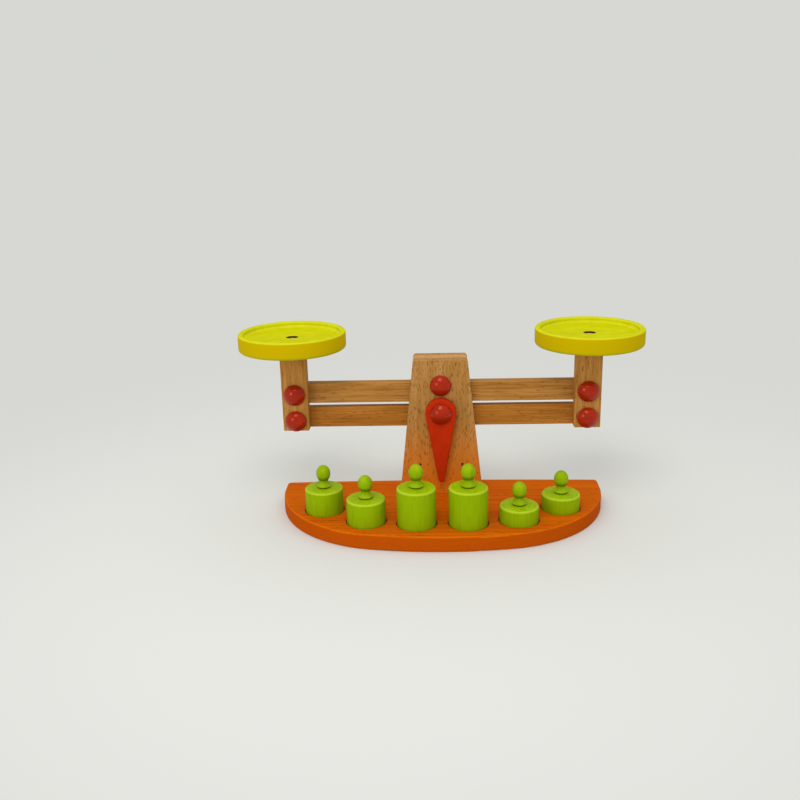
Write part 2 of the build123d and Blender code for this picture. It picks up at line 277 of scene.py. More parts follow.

    # Painted reflection of the orange board in the lacquer of a foot that stands on it, from 88 mm
    # up and fully 10 mm up, and on the back less than half as strongly as on the front
    height = node(tree, "ShaderNodeSeparateXYZ", {0: place.outputs["Object"]})
    near_foot = node(
        tree,
        "ShaderNodeMapRange",
        {
            "Value": height.outputs["Z"],
            "From Min": 0.088,
            "From Max": 0.01,
            "To Min": 0.0,
            "To Max": painted_board_reflection,
        },
        interpolation_type="SMOOTHSTEP",
    )
    to_front = node(
        tree,
        "ShaderNodeMapRange",
        {
            "Value": height.outputs["Y"],
            "From Min": 0.012,
            "From Max": -0.012,
            "To Min": 0.45,
            "To Max": 1.0,
        },
    )
    painted_reflection = node(
        tree,
        "ShaderNodeMath",
        {0: near_foot.outputs[0], 1: to_front.outputs[0]},
        operation="MULTIPLY",
    )
    with_painted_reflection = node(
        tree,
        "ShaderNodeMix",
        {0: painted_reflection.outputs[0], 6: streaked.outputs[2], 7: hue("#E07810")},
        data_type="RGBA",
    )
    fleck_tone = node(
        tree,
        "ShaderNodeMix",
        {0: painted_reflection.outputs[0], 6: hue(fleck), 7: hue("#A05A10")},
        data_type="RGBA",
    )
    flecked = node(
        tree,
        "ShaderNodeMix",
        {0: flecks.outputs[0], 6: with_painted_reflection.outputs[2], 7: fleck_tone.outputs[2]},
        data_type="RGBA",
    )

    # Paler on rounded edges, as wear and as painted highlight, and painted shade darkens the
    # upright sides
    edge_paled = node(
        tree,
        "ShaderNodeMix",
        {0: rub_and_highlight.outputs[0], 6: flecked.outputs[2], 7: hue(pale)},
        data_type="RGBA",
    )
    upright = node(
        tree,
        "ShaderNodeMapRange",
        {
            "Value": sides.outputs["Z"],
            "From Min": 0.7,
            "From Max": 0.2,
            "To Min": 0.0,
            "To Max": sawn,
        },
    )
    side_shaded = node(
        tree,
        "ShaderNodeMix",
        {0: upright.outputs[0], 6: edge_paled.outputs[2], 7: hue(dark)},
        data_type="RGBA",
    )

    # Open pores and flecks dent the lacquer by a few hundredths of a millimetre
    pore_depth = 0.00006
    sunk = node(
        tree,
        "ShaderNodeMath",
        {0: fibres.outputs[0], 1: flecks.outputs[0]},
        operation="ADD",
    )
    dents = node(
        tree,
        "ShaderNodeBump",
        {"Height": sunk.outputs[0], "Strength": 0.35, "Distance": pore_depth},
        invert=True,
    )
    smear = node(
        tree,
        "ShaderNodeMapRange",
        {
            "Value": clouds.outputs[0],
            "From Min": 0.3,
            "From Max": 0.7,
            "To Min": 0.45,
            "To Max": 0.58,
        },
    )
    shader = node(
        tree,
        "ShaderNodeBsdfPrincipled",
        {
            "Base Color": side_shaded.outputs[2],
            "Roughness": smear.outputs[0],
            "IOR": 1.5,
            "Specular IOR Level": sheen,
            "Normal": dents.outputs[0],
        },
    )
    node(tree, "ShaderNodeOutputMaterial", {"Surface": shader.outputs[0]})
    return wood


# Stained and lacquered beech board, grain along the board: the stain hides most of the flecks and
# pools in the fibres as darker lines. The sawn edge is painted darker than the planed top, as shade
orange_beech = lacquered_beech(
    "orange_stained_beech",
    grain_turn=(0, pi / 2, 0),
    start=(0.0, -0.12, -0.045),
    pale="#D26806",
    warm="#C85E05",
    dark="#B24A06",
    fleck="#9C4204",
    fibre_size=(0.0017, 0.12),
    fleck_size=(0.0012, 0.006, 0.2),
    sheen=0.004,
    sawn=0.85,
)


def finish(material, *names):
    """Give CAD nodes their finish."""
    for name in names:
        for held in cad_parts[name].material_slots:
            held.material = material


finish(orange_beech, "base_board")

# Tower: two tapered beech plates with upright grain, glued to a foot block and a head block that
# keep a slot open for the beams, and sanded flush. Clear satin lacquer over flat-sawn beech, whose
# ray flecks show as short dark upright dashes.

# Planed beech plates, clear lacquered: tan, full of flecks, with a painted reflection of the orange
# board near the foot
tower_plate_beech = lacquered_beech(
    "clear_lacquered_beech_plates",
    grain_turn=(0, 0, 0),
    start=(0.012, -0.075, 0.0),
    pale="#BA884E",
    warm="#AA783C",
    dark="#986A2E",
    fleck="#6E4410",
    fibre_size=(0.0012, 0.012),
    fleck_size=(0.0011, 0.0044, 0.95),
    sheen=0.06,
    painted_board_reflection=0.95,
)

# The blocks between them are cut from another board of the same beech, with fewer flecks and a
# little paler: partly their own tone, partly painted light that makes the tower's top look lit from
# above. It shows as a lighter stripe on the tower's top and sides. The foot block gets the same
# painted reflection of the board as the plates
tower_block_beech = lacquered_beech(
    "clear_lacquered_beech_blocks",
    grain_turn=(0, 0, 0.3),
    start=(-0.06, -0.02, 0.0),
    pale="#D09A5C",
    warm="#C28A4A",
    dark="#AC7838",
    fleck="#7A5626",
    fibre_size=(0.0012, 0.02),
    fleck_size=(0.0011, 0.0046, 0.5),
    sheen=0.06,
    painted_board_reflection=0.95,
)
finish(tower_plate_beech, "tower_front", "tower_back")
finish(tower_block_beech, "tower_foot_block", "tower_head_block")

# Beams: two strips of beech with the grain along them and rounded ends, sawn from two boards, the
# lower one darker. Nearly quarter-sawn, so they show fine straight lines and only a few flecks.

# Clear lacquered beech of the upper beam: light brown, with fine lines along it
upper_beam_beech = lacquered_beech(
    "clear_lacquered_beech_upper_beam",
    grain_turn=(0, pi / 2, 0),
    start=(0.0, 0.14, 0.02),
    pale="#BE8846",
    warm="#AC7434",
    dark="#8C5C22",
    fleck="#80521C",
    fibre_size=(0.0013, 0.03),
    fleck_size=(0.0009, 0.0050, 0.4),
    sheen=0.04,
)

# Clear lacquered beech of the lower beam: redder and darker, with longer lines
lower_beam_beech = lacquered_beech(
    "clear_lacquered_beech_lower_beam",
    grain_turn=(0, pi / 2, 0),
    start=(0.03, 0.1, 0.05),
    pale="#BC7C34",
    warm="#AA6A26",
    dark="#885214",
    fleck="#7E4C14",
    fibre_size=(0.0013, 0.04),
    fleck_size=(0.0009, 0.0050, 0.4),
    sheen=0.04,
)
finish(upper_beam_beech, "upper_beam")
finish(lower_beam_beech, "lower_beam")

# Pegs: turned from beech dowel with a domed head, spray-painted glossy red. Two hold the beams in
# the tower and four carry the posts. The last pass of the tool leaves faint rings under the paint.


def lathe_tree():
    """A tree that turns a profile round its axis and sets a copy at each marked place."""
    tree = bpy.data.node_groups.new("turned_on_a_lathe", "GeometryNodeTree")
    for name, kind, way in (
        ("Geometry", "NodeSocketGeometry", "INPUT"),
        ("Segments", "NodeSocketInt", "INPUT"),
        ("Corner Steps", "NodeSocketInt", "INPUT"),
        ("Turn", "NodeSocketVector", "INPUT"),
        ("Finish", "NodeSocketMaterial", "INPUT"),
        ("Geometry", "NodeSocketGeometry", "OUTPUT"),
    ):
        tree.interface.new_socket(name, in_out=way, socket_type=kind)
    given = node(tree, "NodeGroupInput")

    # The profile as a curve, with each corner rounded by its own radius
    wire = node(tree, "GeometryNodeMeshToCurve", {"Mesh": given.outputs["Geometry"]})
    round_size = node(
        tree,
        "GeometryNodeInputNamedAttribute",
        {"Name": "round"},
        data_type="FLOAT",
    )
    profile = node(
        tree,
        "GeometryNodeFilletCurve",
        {
            "Curve": wire.outputs[0],
            "Count": given.outputs["Corner Steps"],
            "Radius": round_size.outputs[0],
            "Limit Radius": True,
        },
        mode="POLY",
    )
    stops = node(
        tree,
        "GeometryNodeAttributeDomainSize",
        {0: profile.outputs[0]},
        component="CURVE",
    )

    # A sheet with one row for each stop on the profile and one column for each step of the turn
    columns = node(
        tree,
        "ShaderNodeMath",
        {0: given.outputs["Segments"], 1: 1.0},
        operation="ADD",
    )
    sheet = node(
        tree,
        "GeometryNodeMeshGrid",
        {"Vertices X": stops.outputs["Point Count"], "Vertices Y": columns.outputs[0]},
    )
    index = node(tree, "GeometryNodeInputIndex")
    middle = node(tree, "ShaderNodeMath", {0: index.outputs[0], 1: 0.5}, operation="ADD")
    share = node(
        tree,
        "ShaderNodeMath",
        {0: middle.outputs[0], 1: columns.outputs[0]},
        operation="DIVIDE",
    )
    row = node(tree, "ShaderNodeMath", {0: share.outputs[0]}, operation="FLOOR")
    before = node(
        tree,
        "ShaderNodeMath",
        {0: row.outputs[0], 1: columns.outputs[0]},
        operation="MULTIPLY",
    )
    column = node(
        tree,
        "ShaderNodeMath",
        {0: index.outputs[0], 1: before.outputs[0]},
        operation="SUBTRACT",
    )
    turned = node(
        tree,
        "ShaderNodeMath",
        {0: column.outputs[0], 1: 2 * pi},
        operation="MULTIPLY",
    )
    angle = node(
        tree,
        "ShaderNodeMath",
        {0: turned.outputs[0], 1: given.outputs["Segments"]},
        operation="DIVIDE",
    )

    # Each vertex goes to its stop's radius and height, and keeps how far the tool had cut by then
    where = node(tree, "GeometryNodeInputPosition")
    stop = node(
        tree,
        "GeometryNodeSampleIndex",
        {"Geometry": profile.outputs[0], "Value": where.outputs[0], "Index": row.outputs[0]},
        data_type="FLOAT_VECTOR",
        domain="POINT",
    )
    cut = node(tree, "GeometryNodeSplineParameter")
    cut_so_far = node(
        tree,
        "GeometryNodeSampleIndex",
        {"Geometry": profile.outputs[0], "Value": cut.outputs["Length"], "Index": row.outputs[0]},
        data_type="FLOAT",
        domain="POINT",
    )
    parts = node(tree, "ShaderNodeSeparateXYZ", {0: stop.outputs[0]})
    side = node(tree, "ShaderNodeMath", {0: angle.outputs[0]}, operation="COSINE")
    front = node(tree, "ShaderNodeMath", {0: angle.outputs[0]}, operation="SINE")
    x = node(
        tree,
        "ShaderNodeMath",
        {0: parts.outputs["X"], 1: side.outputs[0]},
        operation="MULTIPLY",
    )
    y = node(
        tree,
        "ShaderNodeMath",
        {0: parts.outputs["X"], 1: front.outputs[0]},
        operation="MULTIPLY",
    )
    spot = node(
        tree,
        "ShaderNodeCombineXYZ",
        {0: x.outputs[0], 1: y.outputs[0], 2: parts.outputs["Z"]},
    )
    bent = node(
        tree,
        "GeometryNodeSetPosition",
        {"Geometry": sheet.outputs["Mesh"], "Position": spot.outputs[0]},
    )
    marked = node(
        tree,
        "GeometryNodeStoreNamedAttribute",
        {"Geometry": bent.outputs[0], "Name": "tool_path", "Value": cut_so_far.outputs[0]},
        data_type="FLOAT",
        domain="POINT",
    )
    closed = node(
        tree,
        "GeometryNodeMergeByDistance",
        {"Geometry": marked.outputs[0], "Distance": 1e-6},
    )
    outwards = node(tree, "GeometryNodeFlipFaces", {"Mesh": closed.outputs[0]})
    smooth = node(tree, "GeometryNodeSetShadeSmooth", {"Geometry": outwards.outputs[0]})

    # A copy at each loose vertex that is marked as a place
    is_place = node(
        tree,
        "GeometryNodeInputNamedAttribute",
        {"Name": "place"},
        data_type="BOOLEAN",
    )
    places = node(
        tree,
        "GeometryNodeMeshToPoints",
        {"Mesh": given.outputs["Geometry"], "Selection": is_place.outputs[0]},
    )
    copies = node(
        tree,
        "GeometryNodeInstanceOnPoints",
        {
            "Points": places.outputs[0],
            "Instance": smooth.outputs[0],
            "Rotation": given.outputs["Turn"],
        },
    )
    real = node(tree, "GeometryNodeRealizeInstances", {"Geometry": copies.outputs[0]})
    finished = node(
        tree,
        "GeometryNodeSetMaterial",
        {"Geometry": real.outputs[0], "Material": given.outputs["Finish"]},
    )
    node(tree, "NodeGroupOutput", {"Geometry": finished.outputs[0]})
    return tree


lathe = lathe_tree()
mm = 0.001


def turn(name, profile, places, material, turned_by=(0, 0, 0), segments=96, corner_steps=6):
    """A turned piece from its profile, a list of (radius, height, corner radius) in millimetres
    that runs from its foot round the outside, with a copy at each place."""
    mesh = bpy.data.meshes.new(name)
    stops = [(r * mm, 0.0, z * mm) for r, z, rounding in profile]
    edges = [(i, i + 1) for i in range(len(stops) - 1)]
    mesh.from_pydata(stops + [tuple(place) for place in places], edges, [])
    rounds = mesh.attributes.new("round", "FLOAT", "POINT")
    marks = mesh.attributes.new("place", "BOOLEAN", "POINT")
    for i, (r, z, rounding) in enumerate(profile):
        rounds.data[i].value = rounding * mm
    for i in range(len(places)):
        marks.data[len(profile) + i].value = True
    piece = bpy.data.objects.new(name, mesh)
    bpy.context.scene.collection.objects.link(piece)
    cutter = piece.modifiers.new("lathe", "NODES")
    cutter.node_group = lathe
    wanted = {
        "Segments": segments,
        "Corner Steps": corner_steps,
        "Turn": turned_by,
        "Finish": material,
    }
    for item in lathe.interface.items_tree:
        if item.in_out == "INPUT" and item.name in wanted:
            cutter[item.identifier] = wanted[item.name]
    made = bpy.context.evaluated_depsgraph_get()
    shaped = bpy.data.meshes.new_from_object(
        piece.evaluated_get(made), preserve_all_data_layers=True, depsgraph=made
    )
    piece.modifiers.remove(cutter)
    piece.data = shaped
    shaped.name = name
    shaped.materials.clear()
    shaped.materials.append(material)
    shaped.set_sharp_from_angle(angle=radians(38))
    return piece


def arc(centre, radius, first, last, steps):
    """Stops along a round part of a profile, from one angle to another, in degrees."""
    swept = [radians(first + (last - first) * i / steps) for i in range(steps + 1)]
    return [(centre[0] + radius * cos(a), centre[1] + radius * sin(a), 0) for a in swept]


def painted_turning(
    name,
    axis,
    colour,
    deep,
    light,
    wall,
    streak_size,
    streak_share,
    gloss,
    sheen,
    tint,
    underside_shade=1.0,
    coat=0.0,
    marks=0.0,
    wear_and_highlight=0.0,
    worn_highlit_edge="#FFFFFF",
):
    """Stained or painted turned wood. Its colour clouds over towards light and is deep along the
    grain that shows through by streak_share. The sides round its axis are painted wall as shade,
    faces that point down are painted darker as shade by the factor underside_shade, and the rounded
    edges are painted paler by wear_and_highlight, as wear and as highlight."""
    paint = bpy.data.materials.new(name)
    paint.use_nodes = True
    tree = paint.node_tree
    tree.nodes.clear()
    place = node(tree, "ShaderNodeTexCoord")

    # Stain that took unevenly, in clouds 9 mm across, and streaks of the grain
    cloud_size = 0.009
    clouds = node(
        tree,
        "ShaderNodeTexNoise",
        {"Vector": place.outputs["Object"], "Scale": 1 / cloud_size, "Detail": 4.0},
    )
    cloudy = node(
        tree,
        "ShaderNodeMapRange",
        {
            "Value": clouds.outputs[0],
            "From Min": 0.35,
            "From Max": 0.7,
            "To Min": 0.0,
            "To Max": 0.8,
        },
    )
    grain = node(
        tree,
        "ShaderNodeMapping",
        {"Vector": place.outputs["Object"], "Scale": [1 / size for size in streak_size]},
    )
    streaks = node(
        tree,
        "ShaderNodeTexNoise",
        {"Vector": grain.outputs[0], "Scale": 1.0, "Detail": 5.0, "Roughness": 0.6},
    )
    streaky = node(
        tree,
        "ShaderNodeMapRange",
        {
            "Value": streaks.outputs[0],
            "From Min": 0.48,
            "From Max": 0.72,
            "To Min": 0.0,
            "To Max": streak_share,
        },
    )
    stained = node(
        tree,
        "ShaderNodeMix",
        {0: cloudy.outputs[0], 6: hue(colour), 7: hue(light)},
        data_type="RGBA",
    )

    # Painted shade on the outer wall, which is as much as the tool had cut within 53.2 mm: a pan's
    # well is further
    outer_path = 0.0532
    facing = node(tree, "ShaderNodeSeparateXYZ", {0: place.outputs["Normal"]})
    tilt = node(tree, "ShaderNodeMath", {0: facing.outputs[axis]}, operation="ABSOLUTE")
    upright = node(
        tree,
        "ShaderNodeMapRange",
        {"Value": tilt.outputs[0], "From Min": 0.75, "From Max": 0.1},
    )
    path = node(tree, "ShaderNodeAttribute", attribute_name="tool_path")
    outer = node(
        tree,
        "ShaderNodeMath",
        {0: path.outputs["Fac"], 1: outer_path},
        operation="LESS_THAN",
    )
    outside = node(
        tree,
        "ShaderNodeMath",
        {0: upright.outputs[0], 1: outer.outputs[0]},
        operation="MULTIPLY",
    )
    wall_shaded = node(
        tree,
        "ShaderNodeMix",
        {0: outside.outputs[0], 6: stained.outputs[2], 7: hue(wall)},
        data_type="RGBA",
    )
    grained = node(
        tree,
        "ShaderNodeMix",
        {0: streaky.outputs[0], 6: wall_shaded.outputs[2], 7: hue(deep)},
        data_type="RGBA",
    )

    # Rounded edges, between the flat faces and the upright walls, are painted paler, as wear and as
    # highlight
    leaving = node(
        tree,
        "ShaderNodeMapRange",
        {"Value": tilt.outputs[0], "From Min": 0.25, "From Max": 0.55},
    )
    arriving = node(
        tree,
        "ShaderNodeMapRange",
        {
            "Value": tilt.outputs[0],
            "From Min": 0.97,
            "From Max": 0.85,
            "To Min": 0.0,
            "To Max": wear_and_highlight,
        },
    )
    on_edge = node(
        tree,
        "ShaderNodeMath",
        {0: leaving.outputs[0], 1: arriving.outputs[0]},
        operation="MULTIPLY",
    )
    edged = node(
        tree,
        "ShaderNodeMix",
        {0: on_edge.outputs[0], 6: grained.outputs[2], 7: hue(worn_highlit_edge)},
        data_type="RGBA",
    )
    # Faces that point down are painted darker, as shade, by the factor underside_shade
    under = node(
        tree,
        "ShaderNodeMapRange",
        {
            "Value": facing.outputs["Z"],
            "From Min": -0.15,
            "From Max": -0.5,
            "To Min": 1.0,
            "To Max": underside_shade,
        },
    )
    underside_shaded = node(
        tree,
        "ShaderNodeVectorMath",
        {0: edged.outputs[2], "Scale": under.outputs[0]},
        operation="SCALE",
    )

    # Rings of the tool along its path, orange peel of the sprayed finish, and sunk grain. Both
    # are finer on the real one, about 0.2 mm, and are drawn 0.7 and 1.1 mm across to show.
    tool_feed, peel_size, relief_depth = 0.0007, 0.0011, 0.00008
    rings = node(
        tree,
        "ShaderNodeMath",
        {0: path.outputs["Fac"], 1: 2 * pi / tool_feed},
        operation="MULTIPLY",
    )
    ripple = node(tree, "ShaderNodeMath", {0: rings.outputs[0]}, operation="SINE")
    ridges = node(tree, "ShaderNodeMath", {0: ripple.outputs[0], 1: marks}, operation="MULTIPLY")
    skin = node(
        tree,
        "ShaderNodeTexNoise",
        {"Vector": place.outputs["Object"], "Scale": 1 / peel_size, "Detail": 2.0},
    )
    peeled = node(tree, "ShaderNodeMath", {0: skin.outputs[0], 1: 0.4}, operation="MULTIPLY")
    relief = node(
        tree,
        "ShaderNodeMath",
        {0: ridges.outputs[0], 1: peeled.outputs[0]},
        operation="ADD",
    )
    fibre = node(tree, "ShaderNodeMath", {0: streaky.outputs[0], 1: -0.5}, operation="MULTIPLY")
    depth = node(
        tree,
        "ShaderNodeMath",
        {0: relief.outputs[0], 1: fibre.outputs[0]},
        operation="ADD",
    )
    dents = node(
        tree,
        "ShaderNodeBump",
        {"Height": depth.outputs[0], "Strength": 0.4, "Distance": relief_depth},
    )
    smear = node(
        tree,
        "ShaderNodeMapRange",
        {
            "Value": clouds.outputs[0],
            "From Min": 0.3,
            "From Max": 0.7,
            "To Min": gloss,
            "To Max": gloss + 0.1,
        },
    )
    shader = node(
        tree,
        "ShaderNodeBsdfPrincipled",
        {
            "Base Color": underside_shaded.outputs[0],
            "Roughness": smear.outputs[0],
            "IOR": 1.5,
            "Specular IOR Level": sheen,
            "Specular Tint": hue(tint),
            "Coat Weight": coat,
            "Coat Roughness": 0.12,
            "Normal": dents.outputs[0],
        },
    )
    node(tree, "ShaderNodeOutputMaterial", {"Surface": shader.outputs[0]})
    return paint


# Sprayed nitrocellulose lacquer on beech, glossy: deep red with two small bright glints of the
# lamps, and hardly any grain. The rims and the faces that point down get a little painted shade
red_lacquer = painted_turning(
    "glossy_red_lacquer_on_beech",
    axis="Y",
    colour="#941C06",
    deep="#881604",
    light="#AE280A",
    wall="#921806",
    streak_size=(0.0014, 0.017, 0.0014),
    streak_share=0.3,
    gloss=0.14,
    sheen=0.6,
    tint="#FF7048",
    underside_shade=0.85,
    coat=0.22,
    marks=0.15,
)
forwards = (pi / 2, 0, 0)
peg_radius, peg_shank, peg_rim, peg_rise, peg_chamfer = 8.5, 3.0, 1.3, 4.3, 0.6
dome_radius = (peg_radius**2 + peg_rise**2) / (2 * peg_rise)
dome_start = degrees(atan2(dome_radius - peg_rise, peg_radius))


def peg_set(name, body, *nodes):
    """One mesh with a body's pegs of one kind, their heads' seats where the CAD has them."""
    places, length = [], 0
    for peg in nodes:
        low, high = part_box(peg)
        seat = low.y + (peg_rim + peg_rise) * mm
        places.append(((low.x + high.x) / 2, seat, (low.z + high.z) / 2))
        length = (high.y - seat) / mm
    profile = [
        (0, -length, 0),
        (peg_shank - peg_chamfer, -length, 0),
        (peg_shank, peg_chamfer - length, 0),
        (peg_shank, 0, 0),
        (peg_radius, 0, 0.45),
        (peg_radius, peg_rim, 0.8),
    ]
    profile += arc((0, peg_rim + peg_rise - dome_radius), dome_radius, dome_start, 90, 18)[1:]
    pegs = turn(name, profile, places, red_lacquer, forwards, segments=72)
    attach(pegs, body)
    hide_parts(*nodes)


peg_set("tower_peg", "stand", "upper_pivot_peg")
peg_set("pointer_peg", "lower_beam_set", "lower_pivot_peg")
peg_set("upper_beam_pegs", "upper_beam_set", "left_upper_peg", "right_upper_peg")
peg_set("lower_beam_pegs", "lower_beam_set", "left_lower_peg", "right_lower_peg")

# Pointer: a drop-shaped plate jigsawn from 5.5 mm beech, sanded round and painted the same red. It
# hangs in front of the tower on the lower beam's peg and shows which pan is heavier.

# Brushed satin enamel on beech: an even brighter red without glints, a trace of upright grain, and
# painted shade on its edges and on the faces that point down
pointer_paint = painted_turning(
    "satin_red_paint_on_beech",
    axis="Y",
    colour="#B62A0A",
    deep="#9C2006",
    light="#BE300E",
    wall="#AC2408",
    streak_size=(0.0014, 0.0014, 0.017),
    streak_share=0.35,
    gloss=0.42,
    sheen=0.05,
    tint="#FF8060",
    underside_shade=0.9,
)
finish(pointer_paint, "pointer")

# Posts: upright beech strips in front of the beams, bored for two pegs each, with the grain along
# them. The same clear lacquer as the beams.

# Clear lacquered quarter-sawn beech: golden brown, with fine straight upright lines
post_beech = lacquered_beech(
    "clear_lacquered_beech_posts",
    grain_turn=(0, 0, 0),
    start=(0.0, 0.16, 0.0),
    pale="#CA904C",
    warm="#B07838",
    dark="#966424",
    fleck="#80521C",
    fibre_size=(0.0009, 0.02),
    fleck_size=(0.0009, 0.0060, 0.4),
    sheen=0.04,
)
finish(post_beech, "left_post", "right_post")

# Pans: round beech dishes turned on a faceplate, with a raised soft rim, a shallow well and a
# counterbored hole for the screw that holds each on its post.

# Lemon-yellow water stain under satin lacquer: the grain runs faintly across the dish, the outer
# wall is painted deeper as shade, faces that point down are painted darker as shade, and the rim
# is painted paler, as wear and as highlight
yellow_stain = painted_turning(
    "yellow_stained_beech",
    axis="Z",
    colour="#C4C204",
    deep="#B6A602",
    light="#CCD20C",
    wall="#BEA402",
    streak_size=(0.033, 0.0024, 0.0024),
    streak_share=0.4,
    gloss=0.45,
    sheen=0.004,
    tint="#FFF080",
    underside_shade=0.7,
    marks=0.3,
    wear_and_highlight=0.35,
    worn_highlit_edge="#D8D63C",
)

# The bored beech of the screw's hole, painted a dark matt brown as the shade inside it
screw_hole_shade = painted_turning(
    "screw_hole_painted_shade",
    axis="Z",
    colour="#4A3418",
    deep="#38260E",
    light="#523C1C",
    wall="#3C280E",
    streak_size=(0.0033, 0.0033, 0.0033),
    streak_share=0.5,
    gloss=0.7,
    sheen=0.05,
    tint="#FFFFFF",
    marks=0.3,
)
pan_radius, well_radius, well_depth = 42.5, 38.1, 4.6
screw_hole, counterbore, counterbore_depth = 1.83, 4.8, 2.6
for side in ("left", "right"):
    low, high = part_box(f"{side}_pan")
    top = (high.z - low.z) / mm
    well_floor = top - well_depth
    pan_profile = [
        (screw_hole, 0, 0),
        (pan_radius, 0, 2.4),
        (pan_radius, top, 1.7),
        (well_radius, top, 1.9),
        (well_radius, well_floor, 2.6),
        (counterbore, well_floor, 0.3),
        (counterbore, well_floor - counterbore_depth, 0),
        (screw_hole, well_floor - counterbore_depth, 0),
        (screw_hole, 0, 0),
    ]
    middle = Vector(((low.x + high.x) / 2, (low.y + high.y) / 2, low.z))
    pan = turn(f"{side}_turned_pan", pan_profile, [middle], yellow_stain, segments=192)
    pan.data.materials.append(screw_hole_shade)
    # Faces in the counterbore take the painted shade
    for face in pan.data.polygons:
        away = hypot(face.center.x - middle.x, face.center.y - middle.y)
        if away < (counterbore + 0.05) * mm:
            face.material_index = 1
    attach(pan, f"{side}_pan_set")
    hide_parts(f"{side}_pan")

# Screws and brads: yellow zinc plated wood screws with a cross recess, one low round head in each
# pan and two countersunk ones under the board, and two dark steel brads shot flush into the tower.


def plain_metal(name, colour, rough_low, rough_high):
    """Drawn or plated steel: a little uneven in gloss, with fine scratches. The real ones are
    about 0.05 mm wide, and are drawn 0.7 mm wide to show."""
    scratch_size, scratch_depth = 0.0007, 0.00003
    metal = bpy.data.materials.new(name)
    metal.use_nodes = True
    tree = metal.node_tree
    tree.nodes.clear()
    place = node(tree, "ShaderNodeTexCoord")
    scratches = node(
        tree,
        "ShaderNodeTexNoise",
        {"Vector": place.outputs["Object"], "Scale": 1 / scratch_size, "Detail": 4.0},
    )
    dull = node(
        tree,
        "ShaderNodeMapRange",
        {
            "Value": scratches.outputs[0],
            "From Min": 0.3,
            "From Max": 0.7,
            "To Min": rough_low,
            "To Max": rough_high,
        },
    )
    dents = node(
        tree,
        "ShaderNodeBump",
        {"Height": scratches.outputs[0], "Strength": 0.2, "Distance": scratch_depth},
    )
    shader = node(
        tree,
        "ShaderNodeBsdfPrincipled",
        {
            "Base Color": hue(colour),
            "Metallic": 1.0,
            "Roughness": dull.outputs[0],
            "Normal": dents.outputs[0],
        },
    )
    node(tree, "ShaderNodeOutputMaterial", {"Surface": shader.outputs[0]})
    return metal


# Yellow-passivated zinc on steel: a soft warm metal sheen. Blued steel wire: nearly black
zinc = plain_metal("yellow_zinc_plated_steel", "#D2B2A2", 0.5, 0.64)
brad_steel = plain_metal("dark_steel_wire", "#3A2C20", 0.45, 0.6)


def cut_cross(screw, centres, top, facing, depth):
    """Sink a cross recess in each screw's head, about 1 mm wide and 3.6 mm across at the top,
    with sloping walls and arms that get shallower outwards."""
    arm_width, wall_slope, arm_length, end_slope = 0.62, 0.22, 1.95, 0.35
    for vertex in screw.data.vertices:
        for centre in centres:
            x, y = vertex.co.x - centre[0], vertex.co.y - centre[1]
            away = hypot(x, y) / mm
            if away < 2.4 and facing * (vertex.co.z - top) > -1.1 * mm:
                across = min(abs(x), abs(y)) / mm
                wall = min(max((arm_width - across) / wall_slope, 0), 1)
                end = min(max((arm_length - away) / end_slope, 0), 1)
                taper = 1 - 0.35 * away / 1.9
                vertex.co.z -= facing * depth * mm * wall * end * taper


head_radius, head_rim, crown_rise, shank_radius, point_length = 3.8, 0.9, 0.9, 1.8, 1.8
crown_radius = (head_radius**2 + crown_rise**2) / (2 * crown_rise)
crown_start = degrees(atan2(crown_radius - crown_rise, head_radius))
for side in ("left", "right"):
    low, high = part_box(f"{side}_pan_screw")
    middle = ((low.x + high.x) / 2, (low.y + high.y) / 2, high.z)
    length = (high.z - low.z) / mm
    profile = [
        (0, -length, 0),
        (shank_radius, point_length - length, 0),
        (shank_radius, -crown_rise - head_rim, 0),
        (head_radius, -crown_rise - head_rim, 0.15),
        (head_radius, -crown_rise, 0.3),
    ]
    profile += arc((0, -crown_radius), crown_radius, crown_start, 90, 36)[1:]
    screw = turn(f"{side}_pan_wood_screw", profile, [middle], zinc, segments=96)
    cut_cross(screw, [middle], high.z, 1, 1.1)
    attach(screw, f"{side}_pan_set")
    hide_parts(f"{side}_pan_screw")

# The heads under the board have closely spaced stops in the middle, where the recess is sunk
board_head, board_shank, head_cone, shank_end, screw_tip = 4.0, 2.0, 2.0, 34.0, 36.0
low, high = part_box("base_screws")
spread = (high.x - low.x) / 2 - board_head * mm
centres = [((low.x + high.x) / 2 + way * spread, (low.y + high.y) / 2, low.z) for way in (-1, 1)]
profile = [(0, 0, 0)] + [(0.12 * i, 0, 0) for i in range(1, 22)]
profile += [
    (board_head, 0, 0.1),
    (board_shank, head_cone, 0),
    (board_shank, shank_end, 0),
    (0, screw_tip, 0),
]
board_screws = turn("board_wood_screws", profile, centres, zinc, segments=96)
cut_cross(board_screws, centres, low.z, -1, 1.3)
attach(board_screws, "stand")
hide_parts("base_screws")

# The nailer leaves a shallow dimple in each brad's head
wire_radius, brad_length = 0.9, 15
low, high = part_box("tower_brads")
outer = (low.x + wire_radius * mm, high.x - wire_radius * mm)
places = [(x, low.y, (low.z + high.z) / 2) for x in outer]
profile = [
    (0, -brad_length, 0),
    (wire_radius, -brad_length, 0),
    (wire_radius, 0, 0.12),
    (0.7, 0, 0.1),
    (0.35, -0.12, 0),
    (0, -0.15, 0),
]
brads = turn("tower_wire_brads", profile, places, brad_steel, forwards, segments=32)
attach(brads, "stand")
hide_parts("tower_brads")

# Weights: beech cylinders in three heights, parted off on a lathe with eased edges, each with a
# turned knob whose tenon is glued in its top. The knob flares to a collar, draws in to a neck and
# swells to an egg-shaped grip.

